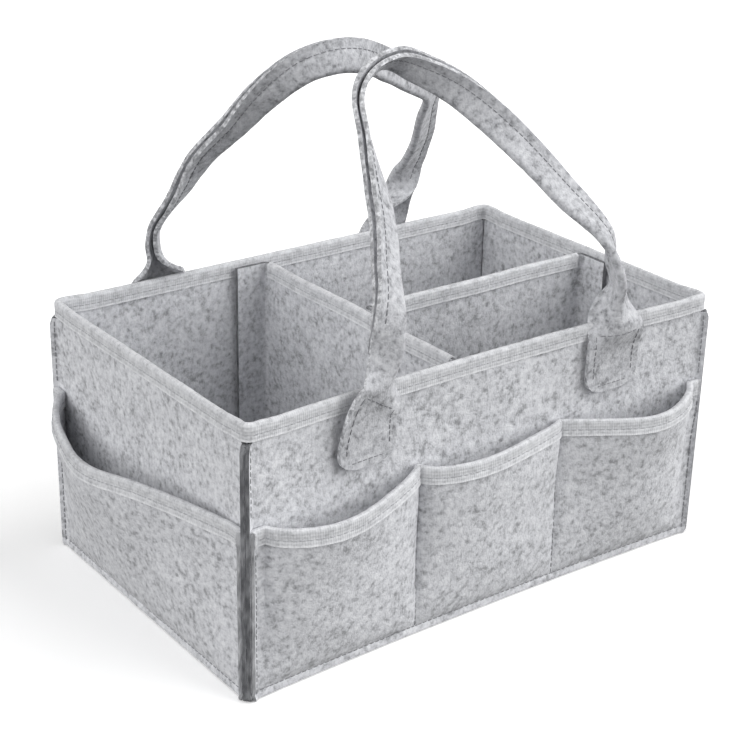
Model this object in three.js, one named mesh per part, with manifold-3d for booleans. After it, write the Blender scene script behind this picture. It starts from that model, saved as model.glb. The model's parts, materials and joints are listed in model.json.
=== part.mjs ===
// Felt caddy: an open box of sewn felt panels with pockets all round, bound edges,
// two folded felt handles and a lift-out T of dividers.
// Millimetres, +Z up, +X along the length, the front faces -Y.
// The origin is in the middle of the underside.

import * as THREE from 'three';
import { mergeVertices } from 'three/addons/utils/BufferGeometryUtils.js';
import Module from 'manifold-3d';

const wasm = await Module();
wasm.setup();

// Box, outside of the wall felt
const length = 371;
const depth = 234;
const height = 180;
const wallFelt = 2.6;
const baseFelt = 3;

// Gap that neighbouring pieces keep
const clearance = 0.3;

// Raw edges that stand out along each corner seam
const seamAllowance = 4;

// Tape folded over the free edges
const tape = 1;
const rimBand = 10;
const pocketBand = 10.5;

// Outside pockets; each number in a list is one pocket and how far its mouth swells
const pocketFelt = 2.2;
const pocketTop = 120;
const longSideBulges = [20, 11, 20];
const shortSideBulges = [18];
const pocketFullness = 0.8;
const pocketStep = 11;
const pocketLeadIn = 6;

// Handles, each one felt strip folded in two between its flat sewn ends
const handleFelt = 3.2;
const strapWidth = 21;
const strapSlit = 0.4;
const slitDepth = 5;
const footWidth = 43;
const tabFlare = 3;
const tabAbovePockets = 10.7;
const tabCorner = 14;
const neckHeight = 28;
const foldRise = 1.5;
const archSteps = 48;

// Centre line of each handle as its own side sees it: across the wall, then up from the fold
const frontArch = [
  [-97, 0], [-75, 32], [-65, 61], [-55, 97], [-47, 142], [-41, 172], [-31, 188], [-12, 196],
  [8, 191], [32, 173], [63, 136], [89, 96], [105, 68], [111, 42], [107, 20], [95, 0],
];
const backArch = [
  [-88, 0], [-87, 38], [-83, 79], [-74, 117], [-60, 148], [-33, 174], [-5, 189], [25, 197],
  [43, 197], [58, 192], [79, 172], [96, 147], [110, 117], [118, 81], [122, 52], [117, 28], [102, 0],
];

// Dividers
const dividerFelt = 3;
const dividerBelowRim = 2;
const dividerFlap = 24;
const crossDividerAt = -22;
const longDividerAt = 0;
const hookStrip = 1.2;
const hookStripWidth = 18;
const hookStripMargin = 14;

// Distances that several pieces share
const bindingOverhang = clearance + tape;
const rimTop = height + bindingOverhang;
const dividerTop = height - dividerBelowRim;
const pocketBandFoot = pocketTop - pocketBand;
const tabFoot = pocketTop + bindingOverhang + tabAbovePockets;
const seamTop = height - rimBand - clearance;
const pocketStandOff = bindingOverhang + clearance;
const tabStandOff = bindingOverhang + clearance;
const hookStandOff = bindingOverhang + clearance;
const flapStandOff = hookStandOff + hookStrip + clearance;
const foldRadius = handleFelt / 2;
const foldHeight = rimTop + foldRise;
const foldOut = tabStandOff + foldRadius;
const strapThickness = 2 * handleFelt + strapSlit;
const dividerFoot = baseFelt + clearance;

// Materials

function felt(shade) {
  return new THREE.MeshStandardMaterial({ color: shade, roughness: 0.96, metalness: 0 });
}

const wallShade = 0xc3c5c8;
const pocketShade = 0xc6c8cb;
const handleShade = 0xbcbec1;
const baseShade = 0xb4b6ba;
const dividerShade = 0xbfc1c4;

function tapeMaterial() {
  return new THREE.MeshStandardMaterial({ color: 0xd9dbdc, roughness: 0.82, metalness: 0 });
}

function hookMaterial() {
  return new THREE.MeshStandardMaterial({ color: 0xe6e7e8, roughness: 0.7, metalness: 0 });
}

// Solids

const sameCorner = 1e-4;
const arcSteps = 8;

function bareMerged(geometry) {
  const bare = geometry.clone();
  bare.deleteAttribute('normal');
  bare.deleteAttribute('uv');
  return mergeVertices(bare, sameCorner);
}

function toSolid(geometry) {
  const merged = bareMerged(geometry);
  const vertProperties = new Float32Array(merged.attributes.position.array);
  const triVerts = new Uint32Array(merged.index.array);
  return new wasm.Manifold(new wasm.Mesh({ numProp: 3, vertProperties, triVerts }));
}

function toGeometry(solid) {
  const mesh = solid.getMesh();
  const geometry = new THREE.BufferGeometry();
  geometry.setAttribute('position', new THREE.BufferAttribute(mesh.vertProperties.slice(), 3));
  geometry.setIndex(new THREE.BufferAttribute(mesh.triVerts.slice(), 1));
  geometry.computeVertexNormals();
  return geometry;
}

function join(...pieces) {
  return toGeometry(pieces.map(toSolid).reduce((whole, piece) => whole.add(piece)));
}

function cut(piece, ...cutters) {
  const whole = toSolid(piece);
  return toGeometry(cutters.map(toSolid).reduce((rest, cutter) => rest.subtract(cutter), whole));
}

function outlineShape(points) {
  return new THREE.Shape(points.map(([x, y]) => new THREE.Vector2(x, y)));
}

// A plan outline raised from one height to another
function raised(shape, bottom, top) {
  const options = { depth: top - bottom, bevelEnabled: false };
  return new THREE.ExtrudeGeometry(shape, options).translate(0, 0, bottom);
}

// A box between two corners
function boxBetween(low, high) {
  const size = high.map((value, axis) => value - low[axis]);
  const middle = high.map((value, axis) => (value + low[axis]) / 2);
  return new THREE.BoxGeometry(...size).translate(...middle);
}

// An outline carried through numbered stations; place gives each point its position
function carried(outline, lastStation, place) {
  const options = { depth: lastStation, steps: lastStation, bevelEnabled: false };
  const geometry = new THREE.ExtrudeGeometry(outlineShape(outline), options);
  const position = geometry.attributes.position;
  for (let i = 0; i < position.count; i += 1) {
    const station = Math.round(position.getZ(i));
    const placed = place(station, position.getX(i), position.getY(i));
    position.setXYZ(i, placed.x, placed.y, placed.z);
  }
  geometry.computeVertexNormals();
  return geometry;
}

function smoothStep(value) {
  const t = Math.min(1, Math.max(0, value));
  return t * t * (3 - 2 * t);
}

function named(name, geometry, material) {
  const mesh = new THREE.Mesh(geometry, material);
  mesh.name = name;
  return mesh;
}

// Sides, each built as if it were the front: across is X, outward is -Y
const longSide = { half: length / 2, reach: depth / 2, bulges: longSideBulges };
const shortSide = { half: depth / 2, reach: length / 2, bulges: shortSideBulges };
const front = { name: 'front', turn: 0, ...longSide };
const right = { name: 'right', turn: Math.PI / 2, ...shortSide };
const back = { name: 'back', turn: Math.PI, ...longSide };
const left = { name: 'left', turn: -Math.PI / 2, ...shortSide };

// A point near the right corner of a side: along the corner's 45 degree line, then in towards this side
function cornerPoint(side, along, inset) {
  const x = side.half + (along - inset) / Math.SQRT2;
  const y = -side.reach - (along + inset) / Math.SQRT2;
  return [x, y];
}

function mirrored([x, y]) {
  return [-x, y];
}

// Wall panel whose two upright edges turn out at 45 degrees into the corner seams
function wallPanel(side) {
  const seamInset = clearance / 2;
  const innerEdge = side.half - wallFelt - clearance / Math.SQRT2;
  const bend = side.half - Math.SQRT2 * (wallFelt + seamInset);
  const rightEdge = [
    [innerEdge, -side.reach + wallFelt],
    cornerPoint(side, seamAllowance, seamInset),
    cornerPoint(side, seamAllowance, seamInset + wallFelt),
    [bend, -side.reach],
  ];
  const leftEdge = rightEdge.map(mirrored).reverse();
  const panel = raised(outlineShape([...rightEdge, ...leftEdge]), 0, height);
  const room = side.half + seamAllowance;
  const aboveSeam = boxBetween(
    [-room, -side.reach - 2 * seamAllowance, seamTop],
    [room, -side.reach, rimTop],
  );
  return cut(panel, aboveSeam);
}

// Plan stations of a pocket strip: its inner and outer face at the foot, and how far its mouth swells
function pocketStations(side) {
  const seamInset = clearance / 2 + wallFelt + clearance;
  const bendInner = side.half - (Math.SQRT2 * seamInset - clearance);
  const bendOuter = side.half - (Math.SQRT2 * (seamInset + pocketFelt) - clearance - pocketFelt);
  const tip = {
    inner: cornerPoint(side, seamAllowance, seamInset),
    outer: cornerPoint(side, seamAllowance, seamInset + pocketFelt),
    swell: 0,
  };
  const bend = {
    inner: [bendInner, -side.reach - clearance],
    outer: [bendOuter, -side.reach - clearance - pocketFelt],
    swell: 0,
  };
  const mouthEnd = bendOuter - pocketLeadIn;
  const pockets = side.bulges.length;
  const stepsPerPocket = Math.round((2 * mouthEnd) / pockets / pocketStep);
  const steps = pockets * stepsPerPocket;
  const mouth = [];
  for (let i = 0; i <= steps; i += 1) {
    const x = mouthEnd - (2 * mouthEnd * i) / steps;
    const bulge = side.bulges[Math.floor(i / stepsPerPocket)] ?? 0;
    const share = (i % stepsPerPocket) / stepsPerPocket;
    mouth.push({
      inner: [x, -side.reach - pocketStandOff],
      outer: [x, -side.reach - pocketStandOff - pocketFelt],
      swell: bulge * Math.sin(Math.PI * share) ** pocketFullness,
    });
  }
  const otherEnd = [bend, tip].map((station) => ({
    ...station,
    inner: mirrored(station.inner),
    outer: mirrored(station.outer),
  }));
  return { mouth, all: [tip, bend, ...mouth, ...otherEnd] };
}

// Pocket strip sewn down at its ends, its foot and between pockets, and swelling out up to its bound mouth
function pocketPanel(side) {
  const stations = pocketStations(side).all;
  const outerFace = [[1, 0], [1, pocketBandFoot], [1, pocketTop]];
  const innerFace = [[0, pocketTop], [0, pocketBandFoot], [0, 0]];
  return carried([...outerFace, ...innerFace], stations.length - 1, (index, layer, z) => {
    const station = stations[index];
    const [x, y] = layer > 0.5 ? station.outer : station.inner;
    const opened = Math.min(1, z / pocketBandFoot);
    return { x, y: y - station.swell * opened, z };
  });
}

// Section of tape folded over an edge: the edge spans the outline's X from 0 to the felt's thickness
function foldedTape(thickness, edgeTop, band) {
  const near = -clearance;
  const far = thickness + clearance;
  const foot = edgeTop - band;
  return [
    [near - tape, foot],
    [near, foot],
    [near, edgeTop + clearance],
    [far, edgeTop + clearance],
    [far, foot],
    [far + tape, foot],
    [far + tape, edgeTop + bindingOverhang],
    [near - tape, edgeTop + bindingOverhang],
  ];
}

// Tape over the mouth of a side's pockets
function pocketBinding(side) {
  const stations = pocketStations(side).mouth;
  const outline = foldedTape(pocketFelt, pocketTop, pocketBand);
  return carried(outline, stations.length - 1, (index, out, z) => {
    const { inner, swell } = stations[index];
    return { x: inner[0], y: inner[1] - swell - out, z };
  });
}

// Rectangular band between two offsets from the outside of the wall felt
function rectangle(offset) {
  const x = length / 2 + offset;
  const y = depth / 2 + offset;
  return [[-x, -y], [x, -y], [x, y], [-x, y]];
}

function ring(innerOffset, outerOffset, bottom, top) {
  const shape = outlineShape(rectangle(outerOffset));
  shape.holes.push(new THREE.Path(rectangle(innerOffset).map(([x, y]) => new THREE.Vector2(x, y))));
  return raised(shape, bottom, top);
}

// One tape over the rim of all four walls
function rimBinding() {
  const foot = height - rimBand;
  const outside = ring(clearance, bindingOverhang, foot, rimTop);
  const inside = ring(-wallFelt - bindingOverhang, -wallFelt - clearance, foot, rimTop);
  const cap = ring(-wallFelt - bindingOverhang, bindingOverhang, height + clearance, rimTop);
  return join(outside, inside, cap);
}

function basePanel() {
  const x = length / 2 - wallFelt - clearance;
  const y = depth / 2 - wallFelt - clearance;
  return boxBetween([-x, -y, 0], [x, y, baseFelt]);
}

// Flat end of a handle strip, sewn to the outside of a wall, with its top sloped under the fold
function handleTab(side, x) {
  const halfTop = footWidth / 2;
  const halfFoot = halfTop + tabFlare;
  const cornerUp = tabFoot + tabCorner;
  const cornerOut = halfFoot - tabCorner;
  const shape = new THREE.Shape();
  shape.moveTo(halfTop, foldHeight);
  shape.lineTo(-halfTop, foldHeight);
  shape.lineTo(-halfFoot, cornerUp);
  shape.absarc(-cornerOut, cornerUp, tabCorner, Math.PI, 1.5 * Math.PI);
  shape.absarc(cornerOut, cornerUp, tabCorner, 1.5 * Math.PI, 2 * Math.PI);
  const options = { depth: handleFelt, bevelEnabled: false, curveSegments: arcSteps };
  const geometry = new THREE.ExtrudeGeometry(shape, options);
  const slopeDrop = Math.SQRT2 * (foldRadius + clearance);
  const position = geometry.attributes.position;
  for (let i = 0; i < position.count; i += 1) {
    const fromFold = foldRadius - position.getZ(i);
    const up = position.getY(i);
    const z = up > foldHeight - foldRadius ? foldHeight + fromFold - slopeDrop : up;
    position.setXYZ(i, x + position.getX(i), -side.reach - foldOut + fromFold, z);
  }
  geometry.computeVertexNormals();
  return geometry;
}

// Stations of a handle from foot to foot, in the plane of its arch, with the fold line at height 0
function handleStations(arch) {
  const points = arch.map(([x, up]) => new THREE.Vector3(x, 0, up));
  const curve = new THREE.CatmullRomCurve3(points, false, 'centripetal');
  const run = curve.getLength();
  const stations = [];
  for (let i = 0; i <= archSteps; i += 1) {
    const share = i / archSteps;
    const tangent = curve.getTangentAt(share);
    const fromFoot = run * Math.min(share, 1 - share);
    const folded = smoothStep(fromFoot / neckHeight);
    const footAcross = new THREE.Vector3(share < 0.5 ? 1 : -1, 0, 0);
    const across = new THREE.Vector3(tangent.z, 0, -tangent.x);
    stations.push({
      centre: curve.getPointAt(share),
      across: footAcross.lerp(across, folded).normalize(),
      width: footWidth + (strapWidth - footWidth) * folded,
      thickness: handleFelt + (strapThickness - handleFelt) * folded,
      folded,
    });
  }
  return [...foldEnd(stations[0]).reverse(), ...stations, ...foldEnd(stations[archSteps])];
}

// Rounded end of a handle at its fold line
function foldEnd(foot) {
  const degreesRound = [36, 79];
  return degreesRound.map(THREE.MathUtils.degToRad).map((angle) => ({
    ...foot,
    centre: foot.centre.clone().setZ(-foldRadius * Math.sin(angle)),
    thickness: handleFelt * Math.cos(angle),
  }));
}

// Folded strap: its open edges, with the slit between them, run round the outside of the arch
function handleLoop(arch) {
  const stations = handleStations(arch);
  const openEdge = -0.5;
  const foldEdge = 0.5;
  const foldStart = 0.38;
  const face = 0.5;
  const foldFlat = 0.2;
  const slitHalf = 0.08;
  const shallowSlit = 0.02;
  const outline = [
    [openEdge, -face],
    [foldStart, -face],
    [foldEdge, -foldFlat],
    [foldEdge, foldFlat],
    [foldStart, face],
    [openEdge, face],
    [openEdge, slitHalf],
    [openEdge + shallowSlit, 0],
    [openEdge, -slitHalf],
  ];
  return carried(outline, stations.length - 1, (index, share, layer) => {
    const { centre, across, width, thickness, folded } = stations[index];
    const slit = layer === 0 ? slitDepth * folded : 0;
    const offset = across.clone().multiplyScalar(share * width + slit);
    return { x: centre.x + offset.x, y: layer * thickness, z: centre.z + offset.z };
  });
}

// How far a handle leans in before its top meets the middle plane between the two handles
function leanOf(side, arch) {
  const top = Math.max(...handleStations(arch).map(({ centre, width }) => centre.z + width / 2));
  const across = side.reach + foldOut - clearance;
  const half = strapThickness / 2;
  const rise = Math.sqrt(top * top + half * half - across * across);
  return Math.atan2(across, rise) - Math.atan2(half, top);
}

function handle(side, arch) {
  const mesh = named(`${side.name}_handle`, handleLoop(arch), felt(handleShade));
  mesh.position.set(0, -side.reach - foldOut, foldHeight);
  mesh.rotation.x = -leanOf(side, arch);
  return mesh;
}

// Divider sheet along X with a flap turned towards -Y at each end
function dividerSheet(halfSpan) {
  const face = dividerFelt / 2;
  const flapEnd = -face - dividerFlap;
  const rightEnd = [
    [halfSpan, face],
    [halfSpan, flapEnd],
    [halfSpan - dividerFelt, flapEnd],
    [halfSpan - dividerFelt, -face],
  ];
  const leftEnd = rightEnd.map(mirrored).reverse();
  return raised(outlineShape([...rightEnd, ...leftEnd]), dividerFoot, dividerTop);
}

function dividerBinding(halfSpan) {
  const run = halfSpan - dividerFelt - clearance;
  const outline = foldedTape(dividerFelt, dividerTop, rimBand);
  return carried(outline, 1, (station, out, z) => ({
    x: station === 0 ? run : -run,
    y: dividerFelt / 2 - out,
    z,
  }));
}

// Hook tape on the outside of a flap
function dividerHookStrip(halfSpan, end) {
  const near = halfSpan + clearance;
  const middle = -(dividerFelt / 2 + dividerFlap / 2);
  const xs = [end * near, end * (near + hookStrip)].sort((a, b) => a - b);
  const low = [xs[0], middle - hookStripWidth / 2, dividerFoot + hookStripMargin];
  const high = [xs[1], middle + hookStripWidth / 2, dividerTop - hookStripMargin];
  return boxBetween(low, high);
}

function divider(name, halfSpan, endNames) {
  const group = new THREE.Group();
  group.add(named(`${name}_divider`, dividerSheet(halfSpan), felt(dividerShade)));
  group.add(named(`${name}_divider_binding`, dividerBinding(halfSpan), tapeMaterial()));
  endNames.forEach((endName, index) => {
    const strip = dividerHookStrip(halfSpan, index === 0 ? -1 : 1);
    group.add(named(`${name}_divider_${endName}_hook_strip`, strip, hookMaterial()));
  });
  return group;
}

// The cross divider runs from front to back, with its flaps towards -X
function crossDivider() {
  const halfSpan = depth / 2 - wallFelt - flapStandOff;
  const group = divider('cross', halfSpan, ['back', 'front']);
  group.position.x = crossDividerAt;
  group.rotation.z = -Math.PI / 2;
  return group;
}

// The long divider runs from the cross divider to the right wall, with its flaps towards -Y
function longDivider() {
  const innerEnd = crossDividerAt + dividerFelt / 2 + flapStandOff;
  const outerEnd = length / 2 - wallFelt - flapStandOff;
  const group = divider('long', (outerEnd - innerEnd) / 2, ['inner', 'outer']);
  group.position.set((innerEnd + outerEnd) / 2, longDividerAt, 0);
  return group;
}

// Assembly
const caddy = new THREE.Group();
caddy.add(named('base_panel', basePanel(), felt(baseShade)));
caddy.add(named('rim_binding', rimBinding(), tapeMaterial()));
caddy.add(crossDivider());
caddy.add(longDivider());

for (const side of [front, right, back, left]) {
  const group = new THREE.Group();
  group.rotation.z = side.turn;
  group.add(named(`${side.name}_wall`, wallPanel(side), felt(wallShade)));
  group.add(named(`${side.name}_pocket_panel`, pocketPanel(side), felt(pocketShade)));
  group.add(named(`${side.name}_pocket_binding`, pocketBinding(side), tapeMaterial()));
  caddy.add(group);
}

for (const [side, arch] of [[front, frontArch], [back, backArch]]) {
  const group = new THREE.Group();
  group.rotation.z = side.turn;
  const feet = { left: arch[0][0], right: arch[arch.length - 1][0] };
  for (const [end, x] of Object.entries(feet)) {
    group.add(named(`${side.name}_handle_${end}_tab`, handleTab(side, x), felt(handleShade)));
  }
  group.add(handle(side, arch));
  caddy.add(group);
}

export default caddy;
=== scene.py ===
import json
import math

import bpy
import numpy as np
from mathutils import Matrix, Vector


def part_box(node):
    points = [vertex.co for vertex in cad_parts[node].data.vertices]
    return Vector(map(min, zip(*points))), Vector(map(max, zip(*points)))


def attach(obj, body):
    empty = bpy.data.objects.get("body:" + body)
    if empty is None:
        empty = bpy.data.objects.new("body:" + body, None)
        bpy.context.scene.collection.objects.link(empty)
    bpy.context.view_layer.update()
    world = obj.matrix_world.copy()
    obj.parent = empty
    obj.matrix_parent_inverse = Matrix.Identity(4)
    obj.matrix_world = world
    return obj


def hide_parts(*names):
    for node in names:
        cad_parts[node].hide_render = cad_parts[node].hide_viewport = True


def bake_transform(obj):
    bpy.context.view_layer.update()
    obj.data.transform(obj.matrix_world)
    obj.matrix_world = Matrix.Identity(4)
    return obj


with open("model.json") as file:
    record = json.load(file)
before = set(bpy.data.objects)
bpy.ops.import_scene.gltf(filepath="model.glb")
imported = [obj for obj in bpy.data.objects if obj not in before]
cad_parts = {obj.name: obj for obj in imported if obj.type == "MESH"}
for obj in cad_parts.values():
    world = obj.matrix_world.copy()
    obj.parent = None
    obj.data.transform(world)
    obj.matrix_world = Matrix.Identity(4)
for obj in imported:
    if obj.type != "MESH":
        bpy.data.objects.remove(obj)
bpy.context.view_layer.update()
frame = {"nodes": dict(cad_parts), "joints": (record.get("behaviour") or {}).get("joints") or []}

# The looks of a felt caddy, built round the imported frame.
# Lengths are millimetres until a mesh is made. A side is drawn as if it were the front:
# across to the right, out from the wall, and up.
MM = 0.001


def box_mm(node):
    low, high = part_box(node)
    return np.array(low) / MM, np.array(high) / MM


# Thicknesses and clearances
gap = 0.3
tape = 1.0
tape_cloth = 0.9
tape_ease = 0.15
top_ease = 0.5
pocket_felt = 2.2
handle_felt = 2.8
divider_felt = 3.0
hook_tape = 0.6

# Sizes read from the frame
rim_low, rim_high = box_mm("rim_binding")
base_low, base_high = box_mm("base_panel")
half_length = rim_high[0] - gap - tape
half_depth = rim_high[1] - gap - tape
wall_top = rim_high[2] - gap - tape
wall_felt = half_depth - base_high[1] - gap
rim_band = wall_top - rim_low[2]
seam_top = rim_low[2] - gap
seam_allowance = (box_mm("front_wall")[1][0] - half_length) * math.sqrt(2) + gap / 2
pocket_top = box_mm("front_pocket_panel")[1][2]
pocket_band = pocket_top - box_mm("front_pocket_binding")[0][2]
pocket_end = box_mm("front_pocket_binding")[1][0]
side_pocket_end = box_mm("right_pocket_binding")[1][1]
tab_foot = box_mm("front_handle_left_tab")[0][2]
hinge_joints = [joint for joint in frame["joints"] if joint["type"] == "hinge"]
hinges = {joint["child"]: np.array(joint["pos_m"]) / MM for joint in hinge_joints}
fold_height = hinges["front_handle"][2]
fold_out = -hinges["front_handle"][1] - half_depth

# Sewing: the stitch, the thread, and how far each row lies from its edge
stitch_length = 4.4
thread = 0.62
hook_thread = 0.45
tape_stitch = 4.2
foot_stitch = 5.5
seam_stitch = 3.0
strap_stitch = 6.5
tab_stitch = 5.0

# Felt: the step between its mesh points, and the depth of its sewn lines
felt_step = 5
sewn_depth = 0.5

# Bow of the front wall: how deep at the top, where it ends and its curve across,
# its share at the foot and the height where it is full, how it fades above the rim and away from the front
front_bow = 6.8
bow_end = 0.96 * half_length
bow_curve = 2.4
foot_bow = 0.55
full_bow_height = 110
bow_fade = 70
bow_start = 45
bow_over = 60


# Sides

class Side:
    """One side of the box: how far it is turned, whether it is a long one, each pocket's swell, peak
    and fullness, how much higher than the CAD its mouth is sewn at even places across,
    and what share of its left and right corner seams stands out."""

    def __init__(self, name, turn, is_long, pockets, lifts, seam_shares):
        self.name = name
        self.turn = math.radians(turn)
        self.half, self.reach = (half_length, half_depth) if is_long else (half_depth, half_length)
        self.pocket_end = pocket_end if is_long else side_pocket_end
        self.pockets = pockets
        self.lifts = lifts
        self.seam_shares = seam_shares

    def place(self, across, out, up):
        """Points of this side in the frame."""
        x, y, z = np.broadcast_arrays(across, -(self.reach + out), up)
        c, s = math.cos(self.turn), math.sin(self.turn)
        return np.stack([c * x - s * y, s * x + c * y, z], -1)


front_pockets = [(22.5, 0.43, 0.8), (15.5, 0.36, 0.75), (25, 0.56, 0.85)]
back_pockets = [(19, 0.5, 0.8), (12, 0.5, 0.8), (19, 0.5, 0.8)]
front = Side("front", 0, True, front_pockets, [-4, 0, 0, 0], (1, 0.55))
right = Side("right", 90, False, [(17, 0.45, 0.9)], [-2, -4, -3, -2], (0.55, 0.8))
back = Side("back", 180, True, back_pockets, [0, -1, 0, -2], (0.8, 0.55))
left = Side("left", -90, False, [(24, 0.34, 1.2)], [0, -12, -5, -4], (0.55, 1))


# Numbers

def smooth(value):
    t = np.clip(value, 0, 1)
    return t * t * (3 - 2 * t)


def groove(distance, width=1.3):
    return np.exp(-(distance / width) ** 2)


def unit(vectors):
    return vectors / np.maximum(np.linalg.norm(vectors, axis=-1, keepdims=True), 1e-9)


def running(values):
    """Running sum that starts at nought."""
    return np.concatenate([[0], np.cumsum(values)])


def stations(low, high, step, *lines):
    """Even places from low to high, with closer ones beside each sewn line."""
    even = np.linspace(low, high, max(2, round((high - low) / step) + 1))
    beside = [line + shift for line in lines for shift in (-2.4, -1.2, -0.5, 0, 0.5, 1.2, 2.4)]
    close = np.array([place for place in beside if low < place < high])
    if len(close) == 0:
        return even
    least_step = 0.6
    apart = np.abs(even[:, None] - close[None, :]).min(1) > least_step
    apart[[0, -1]] = True
    return np.sort(np.concatenate([even[apart], close]))


def ripple(points, wavelength, seed):
    """Smooth random relief between about -1 and 1, the same at the same place."""
    draw = np.random.default_rng(seed)
    waves = 9
    directions = unit(draw.normal(size=(waves, 3)))
    pace = draw.uniform(0.7, 1.5, waves) * 2 * math.pi / wavelength
    phase = draw.uniform(0, 2 * math.pi, waves)
    return np.sin(points @ directions.T * pace + phase).mean(-1) * 2


def fine_ripple(points, seed, height=0.15):
    """The small unevenness of felt."""
    return ripple(points, 14, seed) * height


def eased(place, knots, values):
    """Values that run smoothly from knot to knot, level at each."""
    span = np.interp(place, knots, np.arange(len(knots)))
    low = np.minimum(span.astype(int), len(knots) - 2)
    values = np.asarray(values, float)
    return values[low] + (values[low + 1] - values[low]) * smooth(span - low)


def averaged(values, reach):
    """Each value averaged with its neighbours, as many on either side as the reach."""
    weights = np.hanning(2 * reach + 1)
    return np.convolve(np.pad(values, reach, mode="edge"), weights / weights.sum(), mode="valid")


def settled(points, lifts_out):
    """The whole caddy with its front wall bowed in, most at the top and in the middle.
    A piece that lifts out takes the bow at the top all the way down, to pass the wall."""
    x, y, z = points.T
    if lifts_out:
        z = np.full_like(z, wall_top)
    bow = front_bow * np.clip(1 - np.abs(x / bow_end) ** bow_curve, 0, 1)
    rise = foot_bow + (1 - foot_bow) * smooth(z / full_bow_height)
    fade = smooth((wall_top + bow_fade - z) / bow_fade)
    near_front = smooth((-y - bow_start) / bow_over)
    moved = points.copy()
    moved[:, 1] += bow * rise * fade * near_front
    return moved


def lengths_of(path):
    """Length along a path at each of its points."""
    return running(np.linalg.norm(np.diff(path, axis=0), axis=1))


def curve_through(points, step):
    """Centripetal Catmull-Rom curve through points, at even steps along its length."""
    points = np.asarray(points, float)
    before, after = 2 * points[0] - points[1], 2 * points[-1] - points[-2]
    control = np.concatenate([[before], points, [after]])
    drawn = []
    for p0, p1, p2, p3 in zip(control, control[1:], control[2:], control[3:]):
        t1 = np.linalg.norm(p1 - p0) ** 0.5
        t2 = t1 + np.linalg.norm(p2 - p1) ** 0.5
        t3 = t2 + np.linalg.norm(p3 - p2) ** 0.5
        t = np.linspace(t1, t2, 40, endpoint=False)[:, None]
        a1 = ((t1 - t) * p0 + t * p1) / t1
        a2 = ((t2 - t) * p1 + (t - t1) * p2) / (t2 - t1)
        a3 = ((t3 - t) * p2 + (t - t2) * p3) / (t3 - t2)
        b1 = ((t2 - t) * a1 + t * a2) / t2
        b2 = ((t3 - t) * a2 + (t - t1) * a3) / (t3 - t1)
        drawn.append(((t2 - t) * b1 + (t - t1) * b2) / (t2 - t1))
    dense = np.concatenate([*drawn, points[-1:]])
    run = lengths_of(dense)
    even = np.linspace(0, run[-1], round(run[-1] / step) + 1)
    return even, np.stack([np.interp(even, run, values) for values in dense.T], -1)


# Sheets of felt and tape

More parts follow.
